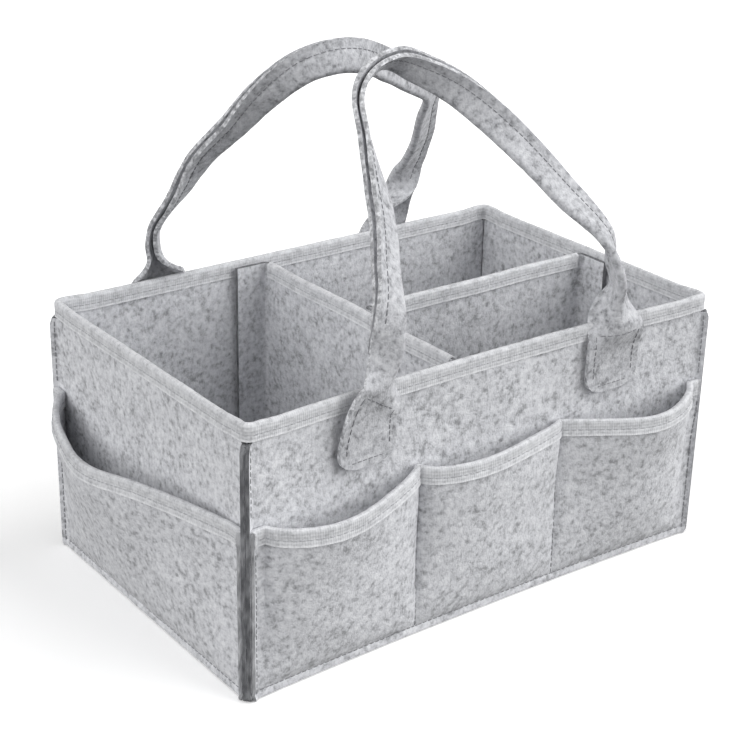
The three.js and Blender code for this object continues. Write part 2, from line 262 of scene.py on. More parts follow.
class Sheet:
    """A sheet of felt or tape: middle points over its lengths along and across, and a thickness.
    Its face is the side that along, then across, turn about anticlockwise."""

    edge_bulge = 0.12

    def __init__(self, along, across, middle, thickness, closed=False):
        self.along = along
        self.across = across
        self.middle = middle
        self.thickness = thickness
        self.closed = closed
        self.map_across = self.across
        self.normal = self.find_normals()

    def find_normals(self):
        middle = self.middle
        if self.closed:
            wrapped = np.concatenate([middle[-2:-1], middle, middle[1:2]])
            forward = wrapped[2:] - wrapped[:-2]
        else:
            forward = np.gradient(middle, axis=0)
        return unit(np.cross(forward, np.gradient(middle, axis=1)))

    def press(self, depth):
        """Move the whole sheet along its own face direction."""
        self.middle = self.middle + self.normal * depth[..., None]
        self.normal = self.find_normals()
        return self

    def at(self, along, across, face=0):
        """Points and face directions at these lengths: face 1 is the face, -1 the back, 0 the middle."""
        along, across = np.broadcast_arrays(along, across)
        a = np.interp(along, self.along, np.arange(len(self.along)))
        b = np.interp(across, self.across, np.arange(len(self.across)))
        i = np.minimum(a.astype(int), len(self.along) - 2)
        j = np.minimum(b.astype(int), len(self.across) - 2)
        fa, fb = (a - i)[..., None], (b - j)[..., None]

        def mixed(grid):
            low = grid[i, j] * (1 - fb) + grid[i, j + 1] * fb
            high = grid[i + 1, j] * (1 - fb) + grid[i + 1, j + 1] * fb
            return low * (1 - fa) + high * fa

        normal = unit(mixed(self.normal))
        return mixed(self.middle) + normal * face * self.thickness / 2, normal * (face or 1)

    def border(self):
        """Loops of grid places round the sheet's edges, with the sheet on their left."""
        rows, columns = self.middle.shape[:2]
        bottom = [(i, 0) for i in range(rows)]
        top = [(i, columns - 1) for i in reversed(range(rows))]
        if self.closed:
            return [bottom, top]
        ending = [(rows - 1, j) for j in range(1, columns - 1)]
        start = [(0, j) for j in reversed(range(columns - 1))]
        return [bottom + ending + top + start]

    def bulged(self, a, b):
        """Points along the middle of the edge, a little outside the sheet."""
        rows, columns = self.middle.shape[:2]
        first, last = (0, rows - 1) if self.closed else (1, rows - 2)
        edge = self.middle[a, b]
        inner = self.middle[np.clip(a, first, last), np.clip(b, 1, columns - 2)]
        return edge + unit(edge - inner) * self.thickness * self.edge_bulge

    def spot(self, a, b):
        """Lengths along and across at these grid places, for the material's map."""
        return np.stack([self.along[a], self.map_across[b]], -1)

    def build(self, name, material, edge_material=None, lifts_out=False):
        """Mesh of both faces and of the edges that join them."""
        rows, columns = self.middle.shape[:2]
        kept = rows - 1 if self.closed else rows
        half = self.normal * self.thickness / 2
        count = kept * columns
        points = [(self.middle + half)[:kept].reshape(-1, 3), (self.middle - half)[:kept].reshape(-1, 3)]
        i, j = np.meshgrid(np.arange(rows - 1), np.arange(columns - 1), indexing="ij")
        corners = [(i, j), (i + 1, j), (i + 1, j + 1), (i, j + 1)]
        index = np.stack([(a % kept) * columns + b for a, b in corners], -1).reshape(-1, 4)
        place = np.stack([self.spot(a, b) for a, b in corners], -2).reshape(-1, 4, 2)
        faces = [index, index[:, ::-1] + count]
        places = [place, place[:, ::-1]]
        felt_faces = 2 * len(index)
        added = 2 * count
        for loop in self.border():
            a, b = np.array(loop).T
            points.append(self.bulged(a, b)[:-1])
            steps = len(loop) - 1
            face_side = (a % kept) * columns + b
            middle_side = added + np.arange(len(loop)) % steps
            near, far = slice(0, steps), slice(1, steps + 1)
            upper = [face_side[near], middle_side[near], middle_side[far], face_side[far]]
            lower = [middle_side[near], face_side[near] + count, face_side[far] + count, middle_side[far]]
            spot = self.spot(a, b)
            around = np.stack([spot[near], spot[near], spot[far], spot[far]], 1)
            faces += [np.stack(upper, -1), np.stack(lower, -1)]
            places += [around, around]
            added += steps
        materials = [material, edge_material or material]
        return mesh_piece(name, np.concatenate(points), np.concatenate(faces), materials, felt_faces,
                          np.concatenate(places), lifts_out)


def scene_object(name, data):
    """A new object, linked into the scene."""
    added = bpy.data.objects.new(name, data)
    bpy.context.scene.collection.objects.link(added)
    return added


def mesh_piece(name, points, faces, materials, first_faces, places=None, lifts_out=False):
    """A smooth mesh whose first faces take the first material and the others the second."""
    mesh = bpy.data.meshes.new(name)
    mesh.from_pydata((settled(points, lifts_out) * MM).tolist(), [], faces.tolist())
    for material in materials:
        mesh.materials.append(material)
    slots = np.arange(len(faces)) >= first_faces
    mesh.polygons.foreach_set("material_index", slots.astype(np.int32))
    mesh.polygons.foreach_set("use_smooth", np.ones(len(faces), bool))
    if places is not None:
        layer = mesh.uv_layers.new(name="run")
        layer.data.foreach_set("uv", (places * MM).astype(np.float32).ravel())
    sharp_fold = math.radians(48)
    mesh.set_sharp_from_angle(angle=sharp_fold)
    mesh.update()
    return scene_object(name, mesh)


# Thread

def stitches(sheet, along, across, face=1):
    """Ends and face directions of the stitches that run between needle holes at these places."""
    hole, normal = sheet.at(along, across, face)
    return hole[:-1], hole[1:], (normal[:-1] + normal[1:]) / 2


def even_row(low, high):
    return np.linspace(low, high, max(2, round(abs(high - low) / stitch_length) + 1))


def tape_rows(folded, row):
    """Stitch rows along both legs of a folded tape."""
    return [stitches(folded, row, line) for line in (tape_stitch, folded.across[-1] - tape_stitch)]


def sewn(name, rows, material, lifts_out=False, thick=thread):
    """One mesh of short bent threads that dive into the felt at both ends."""
    start, end, up = (np.concatenate(part) for part in zip(*rows))
    run = unit(end - start)
    up = unit(up - run * (up * run).sum(1, keepdims=True))
    side = np.cross(run, up)
    shares = np.array([0.07, 0.22, 0.5, 0.78, 0.93])
    heights = np.array([-0.55, 0.22, 0.34, 0.22, -0.55]) * thick
    widths = np.array([0.7, 1, 1, 1, 0.7]) * thick / 2
    sides = 6
    around = np.arange(sides)
    angle = around * 2 * math.pi / sides
    centre = start[:, None] + (end - start)[:, None] * shares[:, None] + up[:, None] * heights[:, None]
    ring = np.cos(angle)[:, None] * side[:, None, None] + np.sin(angle)[:, None] * up[:, None, None]
    points = centre[:, :, None] + ring * widths[:, None, None]
    after = (around + 1) % sides
    near = np.arange(len(shares) - 1)[:, None] * sides
    far = near + sides
    tube = np.stack([near + after, near + around, far + around, far + after], -1).reshape(-1, 4)
    cap = np.array([[0, 1, 2, 3], [0, 3, 4, 5]])
    one = np.concatenate([tube, cap, far[-1] + cap[:, ::-1]])
    faces = (one + (np.arange(len(start)) * len(shares) * sides)[:, None, None]).reshape(-1, 4)
    return mesh_piece(name, points.reshape(-1, 3), faces, [material], len(faces), lifts_out=lifts_out)


# Materials

def tone(red, green, blue):
    """Linear colour of a written screen colour."""
    shares = np.array([red, green, blue]) / 255
    linear = np.where(shares <= 0.04045, shares / 12.92, ((shares + 0.055) / 1.055) ** 2.4)
    return (*linear.tolist(), 1.0)


def grey(level, blue=4):
    """A grey of this screen level that is a little blue."""
    return tone(level, level + 1, level + blue)


def feed(tree, node, inputs):
    """Set a node's inputs, with a link where the value comes from another node."""
    for name, value in inputs.items():
        if isinstance(value, bpy.types.NodeSocket):
            tree.links.new(value, node.inputs[name])
        else:
            node.inputs[name].default_value = value


def node_output(tree, kind, inputs, output, **settings):
    """The output of a new node with these inputs and settings."""
    node = tree.nodes.new(f"ShaderNode{kind}")
    for name, value in settings.items():
        setattr(node, name, value)
    feed(tree, node, inputs)
    return node.outputs[output]


def seen_white(tree):
    """One for the camera's own rays and for those that mirrors and glass pass on to it,
    nought for the light."""
    direct = node_output(tree, "LightPath", {}, "Is Camera Ray")
    for name in ("Is Glossy Ray", "Is Transmission Ray"):
        passed_on = node_output(tree, "LightPath", {}, name)
        direct = node_output(tree, "Math", {0: direct, 1: passed_on}, 0, operation="MAXIMUM")
    return direct


def camera_mix(tree, for_light, for_camera, output):
    """Show one surface to the camera and another to the light."""
    mixed = node_output(tree, "MixShader", {0: seen_white(tree), 1: for_light, 2: for_camera}, 0)
    feed(tree, tree.nodes[output], {"Surface": mixed})


class Shader:
    """A material's node tree with short calls for adding and joining nodes."""

    def __init__(self, name, roughness, sheen=0.0):
        self.material = bpy.data.materials.new(name)
        self.material.use_nodes = True
        self.tree = self.material.node_tree
        self.surface = self.tree.nodes["Principled BSDF"]
        self.set_surface({"Roughness": roughness, "Specular IOR Level": 0.2})
        self.set_surface({"Sheen Weight": sheen, "Sheen Roughness": 0.6})

    def set_surface(self, inputs):
        feed(self.tree, self.surface, inputs)

    def node(self, kind, inputs, output, **settings):
        return node_output(self.tree, kind, inputs, output, **settings)

    def noise(self, place, scale, detail=2.0, roughness=0.5):
        inputs = {"Vector": place, "Scale": scale, "Detail": detail, "Roughness": roughness}
        return self.node("TexNoise", inputs, "Fac")

    def math(self, operation, first, second=0.0):
        return self.node("Math", {0: first, 1: second}, 0, operation=operation)

    def sum_of(self, *parts):
        """Weighted sum of values that each lie round one half, kept round one half."""
        total = 0.5
        for value, weight in parts:
            centred = self.math("MULTIPLY", self.math("SUBTRACT", value, 0.5), weight)
            total = self.math("ADD", centred, total)
        return total

    def object_place(self):
        return self.node("TexCoord", {}, "Object")

    def stretched(self, place, turn, scale):
        return self.node("Mapping", {"Vector": place, "Rotation": turn, "Scale": scale}, "Vector")

    def colour(self, value, *stops):
        node = self.tree.nodes.new("ShaderNodeValToRGB")
        feed(self.tree, node, {"Fac": value})
        elements = node.color_ramp.elements
        while len(elements) < len(stops):
            elements.new(0.5)
        for element, (place, shade) in zip(elements, stops):
            element.position = place
            element.color = shade
        self.set_surface({"Base Color": node.outputs["Color"]})

    def white_to_camera(self, glow, bounce):
        """Glow a little for the camera alone, and send less light back on to the object."""
        self.set_surface({"Emission Color": (1, 1, 1, 1), "Emission Strength": glow})
        dim = self.node("BsdfDiffuse", {"Color": (bounce, bounce, bounce, 1)}, 0)
        camera_mix(self.tree, dim, self.surface.outputs[0], "Material Output")

    def relief(self, value, depth):
        inputs = {"Strength": 1.0, "Distance": depth * MM, "Height": value}
        self.set_surface({"Normal": self.node("Bump", inputs, "Normal")})


def felt_material(name, middle):
    """Needled felt: soft clouds, a heather of short fibres and scattered dark flecks."""
    shader = Shader(name, roughness=1.0, sheen=0.2)
    place = shader.object_place()
    clouds, mottle, heather, flecks = (shader.noise(place, scale, 1) for scale in (38, 185, 340, 850))
    level = shader.stretched(place, (0.3, 0.2, 0.1), (1, 1, 0.3))
    upright_way = shader.stretched(place, (1.2, 0.4, 0.9), (1, 0.3, 1))
    fibres = shader.noise(level, 900, 1)
    other_fibres = shader.noise(upright_way, 900, 1)
    broad = ((clouds, 0.3), (mottle, 0.95), (heather, 0.85))
    fine = ((flecks, 0.35), (fibres, 0.25), (other_fibres, 0.25))
    shader.colour(
        shader.sum_of(*broad, *fine),
        (0.12, grey(middle - 58)),
        (0.4, grey(middle - 11, 5)),
        (0.55, grey(middle + 3, 5)),
        (0.88, grey(middle + 22)),
    )
    shader.relief(shader.sum_of((heather, 0.7), (flecks, 0.5), (fibres, 0.4), (other_fibres, 0.4)), 0.5)
    return shader.material


def raw_edge_material(name, middle, spread, rise):
    """Cut felt, where the fibre ends show; a small rise draws its patches out upright."""
    shader = Shader(name, roughness=1.0)
    place = shader.stretched(shader.object_place(), (0, 0, 0), (1, 1, rise))
    patches = shader.noise(place, 230, 2)
    specks = shader.noise(place, 520, 1)
    value = shader.sum_of((patches, 1.2), (specks, 0.9))
    shader.colour(value, (0.2, grey(middle - spread)), (0.5, grey(middle)), (0.8, grey(middle + spread)))
    shader.relief(value, 1.0)
    return shader.material


def tape_material(name, middle):
    """Woven tape: fine ribs across it, a few lengthwise lines, and a painted highlight that makes it paler
    along its selvedge.
    """
    shader = Shader(name, roughness=0.9, sheen=0.1)
    spot = shader.node("UVMap", {}, "UV", uv_map="run")
    along, across = (shader.node("SeparateXYZ", {0: spot}, axis) for axis in "XY")
    turn = 2 * math.pi / MM
    rib_pitch, line_pitch, selvedge = 1.5, 2.1, 1.2
    ribs = shader.math("SINE", shader.math("MULTIPLY", along, turn / rib_pitch))
    lines = shader.math("SINE", shader.math("MULTIPLY", across, turn / line_pitch))
    half_up = shader.math("ADD", shader.math("MULTIPLY", shader.math("ADD", ribs, lines), 0.25), 0.5)
    place = shader.object_place()
    uneven = shader.noise(place, 520, 3, 0.6)
    mottle = shader.noise(place, 170, 2, 0.6)
    # Painted highlight: the tape is made paler near each free edge, standing in for the light its raised
    # selvedge catches.
    edge = shader.math("SUBTRACT", 1.0, shader.math("DIVIDE", across, selvedge * MM))
    painted_edge_highlight = shader.math("MULTIPLY", shader.math("MAXIMUM", edge, 0.0), 0.3)
    value = shader.sum_of((half_up, 0.14), (uneven, 0.7), (mottle, 0.8))
    shader.colour(
        shader.math("ADD", value, painted_edge_highlight),
        (0.1, grey(middle - 52)),
        (0.5, grey(middle)),
        (0.95, grey(middle + 30, 3)),
    )
    shader.relief(shader.sum_of((half_up, 0.6), (uneven, 0.5)), 0.3)
    return shader.material


def thread_material(name, middle):
    shader = Shader(name, roughness=0.8)
    twist = shader.noise(shader.object_place(), 1800, 1)
    shader.colour(twist, (0.3, grey(middle - 20, 5)), (0.7, grey(middle + 20)))
    shader.relief(twist, 0.15)
    return shader.material


def hook_material():
    shader = Shader("hook_tape", roughness=0.6)
    weave = shader.noise(shader.object_place(), 700, 2)
    shader.colour(weave, (0.3, grey(205, 3)), (0.7, grey(236, 2)))
    shader.relief(weave, 0.3)
    return shader.material


wall_material = felt_material("wall_felt", 207)
pocket_material = felt_material("pocket_felt", 209)
# Painted shade: the handle felt is darker than the wall felt, standing in for the shade on handle faces that
# turn down and away from the lamps.
shaded_handle_material = felt_material("handle_felt", 188)
divider_material = felt_material("divider_felt", 203)
base_material = felt_material("base_felt", 190)
# Partly real and partly painted shade: cut felt shows darker fibre ends, and the wall edges are kept darker
# than the pocket edges to stand in for the shade in the gaps between the corner seams' layers.
cut_edge_and_seam_shade = raw_edge_material("felt_cut_edge", 112, 26, 0.3)
pocket_edge = raw_edge_material("pocket_cut_edge", 160, 30, 0.3)
handle_edge = raw_edge_material("handle_cut_edge", 182, 44, 1)
rim_tape_material = tape_material("binding_tape", 204)
felt_thread = thread_material("felt_thread", 132)
tape_thread = thread_material("tape_thread", 172)
hook_look = hook_material()


# Walls and pockets

def plan_end(half, level, inset, radius, tip):
    """Plan of a strip's right end: it leaves the wall line at this level, bends
    and stands out at 45 degrees."""
    root = math.sqrt(2)
    bend = half + level - root * inset
    tangent = radius * math.tan(math.pi / 8)
    angle = np.linspace(0, math.pi / 4, 5)
    arc = np.stack([bend - tangent + radius * np.sin(angle), level + radius * (1 - np.cos(angle))], -1)
    share = np.array([0.35, 0.7, 1.0])[:, None]
    end = np.array([half + (tip - inset) / root, (tip + inset) / root])
    return np.concatenate([arc, arc[-1] + (end - arc[-1]) * share])


def with_ends(across, rows_out, left_ends, right_ends):
    """Plan rows of a strip from its left end to its right end."""
    rows = []
    for out, left_end, right_end in zip(rows_out, left_ends, right_ends):
        middle = np.stack([across, out], -1)
        mirrored = left_end[::-1] * np.array([-1, 1])
        rows.append(np.concatenate([mirrored, middle, right_end]))
    return np.stack(rows, 1)


def refined(path, step):
    """A plan path with more points on its long stretches, and the length along it."""
    least_step = 0.3
    rough = lengths_of(path)
    along = np.sort(np.concatenate([rough, np.arange(step, rough[-1] - step, step)]))
    along = along[np.concatenate([[True], np.diff(along) > least_step])]
    along[-1] = rough[-1]
    return along, np.stack([np.interp(along, rough, values) for values in path.T], -1)


def upright(plan, ups):
    """Grid of points straight above a plan path."""
    flat = np.broadcast_to(plan[:, None], (len(plan), len(ups), 2))
    return np.concatenate([flat, np.broadcast_to(ups, flat.shape[:2])[..., None]], -1)


def seam_tip(ups, top):
    """How far a corner seam stands out at each height, rounded off at both ends."""
    end_share = 0.25
    near_end = np.clip(np.minimum(ups, top - ups), 0, seam_allowance) / seam_allowance
    return seam_allowance * (end_share + (1 - end_share) * np.sqrt(1 - (1 - near_end) ** 2))


def wall_sheet(side):
    """Wall whose upright edges stand out along the corner seams."""
    level = -wall_felt / 2
    inset = gap / 2 + wall_felt / 2
    bend_radius = 3.0
    wave_length, wave_height, calm_edge = 90, 0.8, 40
    ups = stations(0, wall_top - top_ease, felt_step, 1, foot_stitch, seam_top - 1)
    seam_ups = ups * seam_top / ups[-1]
    tips = seam_tip(seam_ups, seam_top)
    ends = [[plan_end(side.half, level, inset, bend_radius, tip * share) for tip in tips]
            for share in side.seam_shares]
    bend = ends[0][0][0, 0]
    across = stations(2 - bend, bend - 2, felt_step)
    plan = with_ends(across, [np.full(len(across), level)] * len(ups), *ends)
    in_seam = np.abs(plan[:, :1, 0]) > bend - 0.01
    up = np.where(in_seam, seam_ups, ups)
    points = side.place(plan[..., 0], plan[..., 1], up)
    sheet = Sheet(lengths_of(plan[:, len(ups) // 2]), ups, points, wall_felt)
    inside = smooth((bend - np.abs(plan[..., 0])) / calm_edge)
    waves = ripple(points, wave_length, 11) * wave_height * inside + fine_ripple(points, 12)
    return sheet.press(waves - sewn_depth * groove(up - foot_stitch))


def pocket_edges(side):
    """Where a side's pockets end and begin, across."""
    return np.linspace(-side.pocket_end, side.pocket_end, len(side.pockets) + 1)


def pocket_swell(side, across):
    """How far a side's pocket strip stands out at its mouth."""
    edges = pocket_edges(side)
    swell = np.zeros_like(across)
    for low, high, (bulge, peak, fullness) in zip(edges, edges[1:], side.pockets):
        share = np.clip((across - low) / (high - low), 0, 1)
        skewed = share ** (math.log(0.5) / math.log(peak))
        swell += bulge * np.abs(np.sin(math.pi * skewed)) ** fullness
    return swell


def pocket_pillow(side, across, up):
    """How far the felt puffs out between a pocket strip's sewn lines, less at its mouth."""
    height = 1.5
    seam_width = 2.6
    mouth_share = 0.35
    seams = sum((groove(across - seam, seam_width) for seam in pocket_edges(side)[1:-1]), 0 * across)
    inside = smooth((side.pocket_end - np.abs(across)) / 12)
    above_foot = smooth((up - foot_stitch) / 8)
    below_mouth = smooth((pocket_top - 2 - up) / 10)
    return height * (1 - seams) * inside * above_foot * (mouth_share + (1 - mouth_share) * below_mouth)


def pocket_sheet(side):
    """Pocket strip sewn down at its ends, its foot and between pockets, and standing open at its mouth."""
    bend_radius = 2.6
    edge_back = 0.7
    seam_above = 20
    bulk_start, bulk_over = 70, 35
    opening_curve = 0.75
    wave_length, wave_height, calm_edge, calm_foot = 60, 0.9, 30, 12
    mouth = pocket_top - pocket_band
    across = stations(-side.pocket_end, side.pocket_end, 4, *pocket_edges(side)[1:-1])
    ups = stations(0.4, pocket_top - top_ease, felt_step, foot_stitch, mouth)
    flat = gap + pocket_felt / 2
    bulk = smooth((ups - bulk_start) / bulk_over) * (tape + gap)
    opened = np.clip((ups - foot_stitch) / (mouth - foot_stitch), 0, 1) ** opening_curve
    out = flat + bulk[:, None] + opened[:, None] * pocket_swell(side, across)
    out = out + pocket_pillow(side, across, ups[:, None])
    inset = gap / 2 + wall_felt + gap + pocket_felt / 2
    tips = seam_tip(ups, pocket_top + seam_above)
    ends = [[plan_end(side.half, flat + b, inset, bend_radius, tip * share - edge_back)
             for b, tip in zip(bulk, tips)] for share in side.seam_shares]
    plan = with_ends(across, out, *ends)
    sag = np.maximum(plan[..., 1] - flat, 0) ** 2 / (2 * pocket_top) * (ups / pocket_top)
    knots = np.linspace(-side.pocket_end, side.pocket_end, len(side.lifts))
    lift = eased(plan[..., 0], knots, side.lifts) * smooth(ups / pocket_top)
    points = side.place(plan[..., 0], plan[..., 1], ups - sag + lift)
    sheet = Sheet(lengths_of(plan[:, len(ups) // 2]), ups, points, pocket_felt)
    inside = smooth((side.pocket_end - np.abs(plan[..., 0])) / calm_edge)
    free = inside * smooth((ups - calm_foot) / calm_edge)
    waves = ripple(points, wave_length, 21) * wave_height * free + fine_ripple(points, 22)
    foot_lip = 0.3 * groove(ups[None] - 1.5, 2.2)
    return sheet.press(waves - sewn_depth * groove(ups[None] - foot_stitch) + foot_lip)


# Tape

def tape_section(felt, band):
    """Section of tape folded over an edge of felt: out from the felt's middle, and up from its edge."""
    leg = felt / 2 + tape_ease + tape / 2
    crown = tape_ease + tape / 2 - leg
    rise = stations(-band, crown, 1.6, -band + tape_stitch)
    angle = np.linspace(0, math.pi, 9)[1:-1]
    out = np.concatenate([np.full(len(rise), leg), leg * np.cos(angle), np.full(len(rise), -leg)])
    up = np.concatenate([rise, crown + leg * np.sin(angle), rise[::-1]])
    return np.stack([out, up], -1)


def tape_over(sheet, along, top, band):
    """Tape folded over the upper edge of a sheet, puckered by its stitches."""
    lip_height = 0.2
    pucker_height, pucker_inside = 0.14, 0.4
    section = tape_section(sheet.thickness, band)
    run = lengths_of(section)
    depth = top + np.minimum(section[:, 1], 0)
    points, normal = sheet.at(along[:, None], depth[None])
    points = points + normal * section[:, :1] + np.array([0, 0, 1.0]) * np.maximum(section[:, 1:], 0)
    folded = Sheet(along, run, points, tape_cloth, closed=sheet.closed)
    from_edge = np.minimum(run, run[-1] - run)
    folded.map_across = from_edge
    lip = groove(from_edge, 0.8)
    sewn_line = groove(from_edge - tape_stitch, 0.9)
    pucker = pucker_height * np.sin(along * math.pi / stitch_length)[:, None]
    relief = lip_height * (lip - sewn_line) + pucker * (pucker_inside + (1 - pucker_inside) * lip)
    return folded.press(relief + 0.15 * ripple(points, 40, 31))


def rim_line():
    """The walls' upper edge as one closed sheet with rounded corners, a little higher there."""
    radius = 4.5
    corner_rise = 1.2
    corner_width = 9.0
    below = 30
    x, y = half_length - wall_felt / 2 - radius, half_depth - wall_felt / 2 - radius
    corners = []
    for turn, centre in ((-90, (x, -y)), (0, (x, y)), (90, (-x, y)), (180, (-x, -y))):
        angle = np.radians(turn + np.linspace(0, 90, 9))
        corners.append(np.array(centre) + radius * np.stack([np.cos(angle), np.sin(angle)], -1))
    along, plan = refined(np.concatenate([*corners, corners[0][:1]]), 2.0)
    ups = np.linspace(wall_top - below, wall_top, 8)
    points = upright(plan, ups)
    corner = np.hypot(np.abs(plan[:, 0]) - x, np.abs(plan[:, 1]) - y)
    points[..., 2] += (corner_rise * groove(corner - radius, corner_width))[:, None]
    return Sheet(along, ups, points, wall_felt, closed=True)


# Handles

# Each handle's route in its own plane, fitted to the photo in whole millimetres:
# where its two feet are across, and the points between them, across and up from its fold line over the rim.
front_feet = (-99, 101)
front_arch = [
    (-99, -25), (-97, -14), (-91, -4), (-88, 7), (-87, 37), (-80, 67), (-66, 103), (-56, 149), (-48, 181),
    (-32, 197), (-12, 203), (5, 193), (27, 174), (53, 134), (73, 91), (88, 63), (94, 40), (99, 22), (98, 4),
    (100, -25),
]
back_feet = (-88, 102)
back_arch = [
    (-88, 0), (-98, 39), (-91, 83), (-76, 121), (-65, 150), (-40, 167), (-8, 187), (21, 202), (45, 205),
    (64, 197), (80, 174), (89, 147), (101, 117), (104, 80), (108, 52), (110, 33), (104, 0),
]

# How a handle's strip is folded along its run from each foot, in degrees fitted to the photo where it shows:
# the distance past the fold line, and the directions of its two wings from their spine.
# 0 points out of the arch, 90 into the box and 180 into the arch. One direction means it is folded shut.
front_left_foot = [
    (-36, 0, 180), (-17, -12, 178), (-9, -12, 173), (-3, -8, 163), (12, 17, 72), (20, 26, 46), (30, 29),
    (42, 10), (60, -15), (80, -25), (120, -29), (142, -43), (160, -54), (180, -60), (235, -104), (270, -97),
]
front_right_foot = [
    (-23, 0, 180), (-16, 3, 172), (-9, 8, 152), (4, 27, 94), (12, 40, 70), (20, 50, 57), (30, 63), (42, 61),
    (62, 27), (90, 2), (140, -18), (180, -49), (220, -74), (245, -83), (270, -87),
]
back_left_foot = [
    (-20, 0, 180), (-8, 6, 172), (8, 27, 140), (27, 50, 80), (36, 46, 54), (50, -3), (70, -19), (100, -27),
    (240, -56),
]
back_right_foot = [
    (-24, 0, 180), (-9, 10, 164), (-3, 22, 144), (7, 44, 92), (13, 51, 70), (20, 56, 60), (34, 51), (48, 33),
    (64, 29), (90, 17), (120, 0), (150, -11), (170, -25), (210, -58), (240, -59),
]

# A handle's strip: half widths of its strap and tabs, the length over which they change,
# the tabs' corner radius, half the felt taken up by the fold when shut, and how much more when open
strap_half = 21.0
tab_half = 21.8
tab_taper = 40
tab_corner = 13.0
shut_bend = 2.35
open_bend = 9


def rest_lean(side):
    """How far a CAD handle leans in over the box at rest."""
    body = f"{side.name}_handle"
    points = np.array([vertex.co for vertex in frame["nodes"][body].data.vertices]) / MM - hinges[body]
    middle = points.mean(0)
    return math.atan2(math.cos(side.turn) * middle[1], middle[2])


def fold_profile(lean, bulge):
    """Out, up and lean of a handle's middle plane against the distance up it from the fold line.
    It rises upright, or with its bulge a little outwards, and then leans in."""
    step = 0.5
    highest = 260
    start, start_over = -4, 8
    bulge_end, bulge_fade = 42, 30
    lean_start, lean_over = start + 16 * bulge, 63
    bulge_lean = math.radians(9) * bulge
    full_lean = (1.2 + 0.04 * bulge) * lean
    rise = np.arange(tab_foot - fold_height - 1, highest, step)
    outward = bulge_lean * smooth((rise - start) / start_over) * smooth((bulge_end - rise) / bulge_fade)
    angle = full_lean * smooth((rise - lean_start) / lean_over) - outward
    out = running(-np.sin(angle[:-1]) * step)
    up = running(np.cos(angle[:-1]) * step)
    return rise, fold_out + out, fold_height + rise[0] + up, angle


def strap_widths(run):
    """Half width along a strip, with rounded corners at both ends."""
    from_end = np.minimum(run, run[-1] - run)
    half = strap_half + (tab_half - strap_half) * smooth((tab_taper - from_end) / tab_taper)
    short = np.clip(tab_corner - from_end, 0, tab_corner)
    return (half - tab_corner + np.sqrt(tab_corner ** 2 - short ** 2))[:, None]


def wing_keys(keys):
    """Distances and the directions of both wings, which are a degree apart where the strip is shut."""
    return np.array([key if len(key) == 3 else (*key, key[1] + 1) for key in keys], float)


def wing_directions(run, foot, left_keys, right_keys):
    """Directions of both wings along a strip, passing from one foot's keys to the other's at its top."""
    crossing = 60
    from_left = run + foot
    from_right = run[-1] - run + foot
    share = smooth((from_left - from_right) / crossing + 0.5)
    left_keys, right_keys = wing_keys(left_keys), wing_keys(right_keys)
    wings = []
    for column in (1, 2):
        lefts = np.interp(from_left, left_keys[:, 0], left_keys[:, column])
        rights = np.interp(from_right, right_keys[:, 0], right_keys[:, column])
        wings.append(averaged(lefts * (1 - share) + rights * share, 3)[:, None])
    return wings


def summed(values, across):
    """Running sum of values over the widths across, nought at the strip's middle."""
    parts = (values[:, 1:] + values[:, :-1]) / 2 * np.diff(across, axis=1)
    total = np.concatenate([np.zeros((len(parts), 1)), np.cumsum(parts, 1)], 1)
    middle = total.shape[1] // 2
    return total - total[:, middle:middle + 1]


def folded_section(across, half, first_wing, second_wing):
    """A strip's sections, out of the arch and into the box from its middle, and how far each is shut.
    Beyond the sewn line the raw edges spring apart."""
    shut_from = 120
    flat_spring, shut_spring, spring_over = 2, 8, 3
    turn = first_wing - second_wing + 180
    shut = smooth((turn - shut_from) / (180 - shut_from))
    bend = shut_bend + open_bend * (1 - np.clip(turn / 180, 0, 1))
    angle = (first_wing + second_wing - 180) / 2 + turn / 2 * np.clip(across / bend, -1, 1)
    past_line = smooth((np.abs(across) - half + strap_stitch) / spring_over)
    spring = flat_spring + shut_spring * shut
    angle = np.radians(angle - np.sign(across) * past_line * spring)
    return summed(np.cos(angle), across), summed(np.sin(angle), across), shut


def handle_sheet(side, feet, arch, left_keys, right_keys, bulge):
    """A felt strip, flat at both sewn ends, that folds in two and twists along its arch."""
    held_top, held_over = 4, 8
    centred = 0.85
    foot = tab_foot - fold_height
    run, path = curve_through([(feet[0], foot), *arch, (feet[1], foot)], 3.0)
    tangent = unit(np.gradient(path, axis=0))
    share = np.linspace(-1, 1, 45)
    share = np.sign(share) * np.abs(share) ** 1.3
    half = strap_widths(run)
    across = half * share
    wings = wing_directions(run, foot, left_keys, right_keys)
    outer, inner, shut = folded_section(across, half, *wings)
    outer -= outer.mean(1, keepdims=True)
    near_wall = smooth((held_top - path[:, 1]) / held_over)
    offset = near_wall * inner.max(1) + (1 - near_wall) * centred * inner.mean(1)
    inner -= averaged(offset, 6)[:, None]
    rise, *profile = fold_profile(rest_lean(side), bulge)
    strip_out, strip_up, tilt = (np.interp(path[:, 1], rise, values)[:, None] for values in profile)
    rise_step = tangent[:, :1] * outer
    points = side.place(
        path[:, :1] - tangent[:, 1:] * outer,
        strip_out - np.sin(tilt) * rise_step - np.cos(tilt) * inner,
        strip_up + np.cos(tilt) * rise_step - np.sin(tilt) * inner,
    )
    sheet = Sheet(run, share * strap_half, points, handle_felt)
    waves = ripple(points, 30, 41) * 0.25 + ripple(points, 12, 42) * 0.1
    sewn_line = groove(np.abs(across) - half + strap_stitch, 1.4) * shut
    return sheet.press(waves - 0.35 * sewn_line)


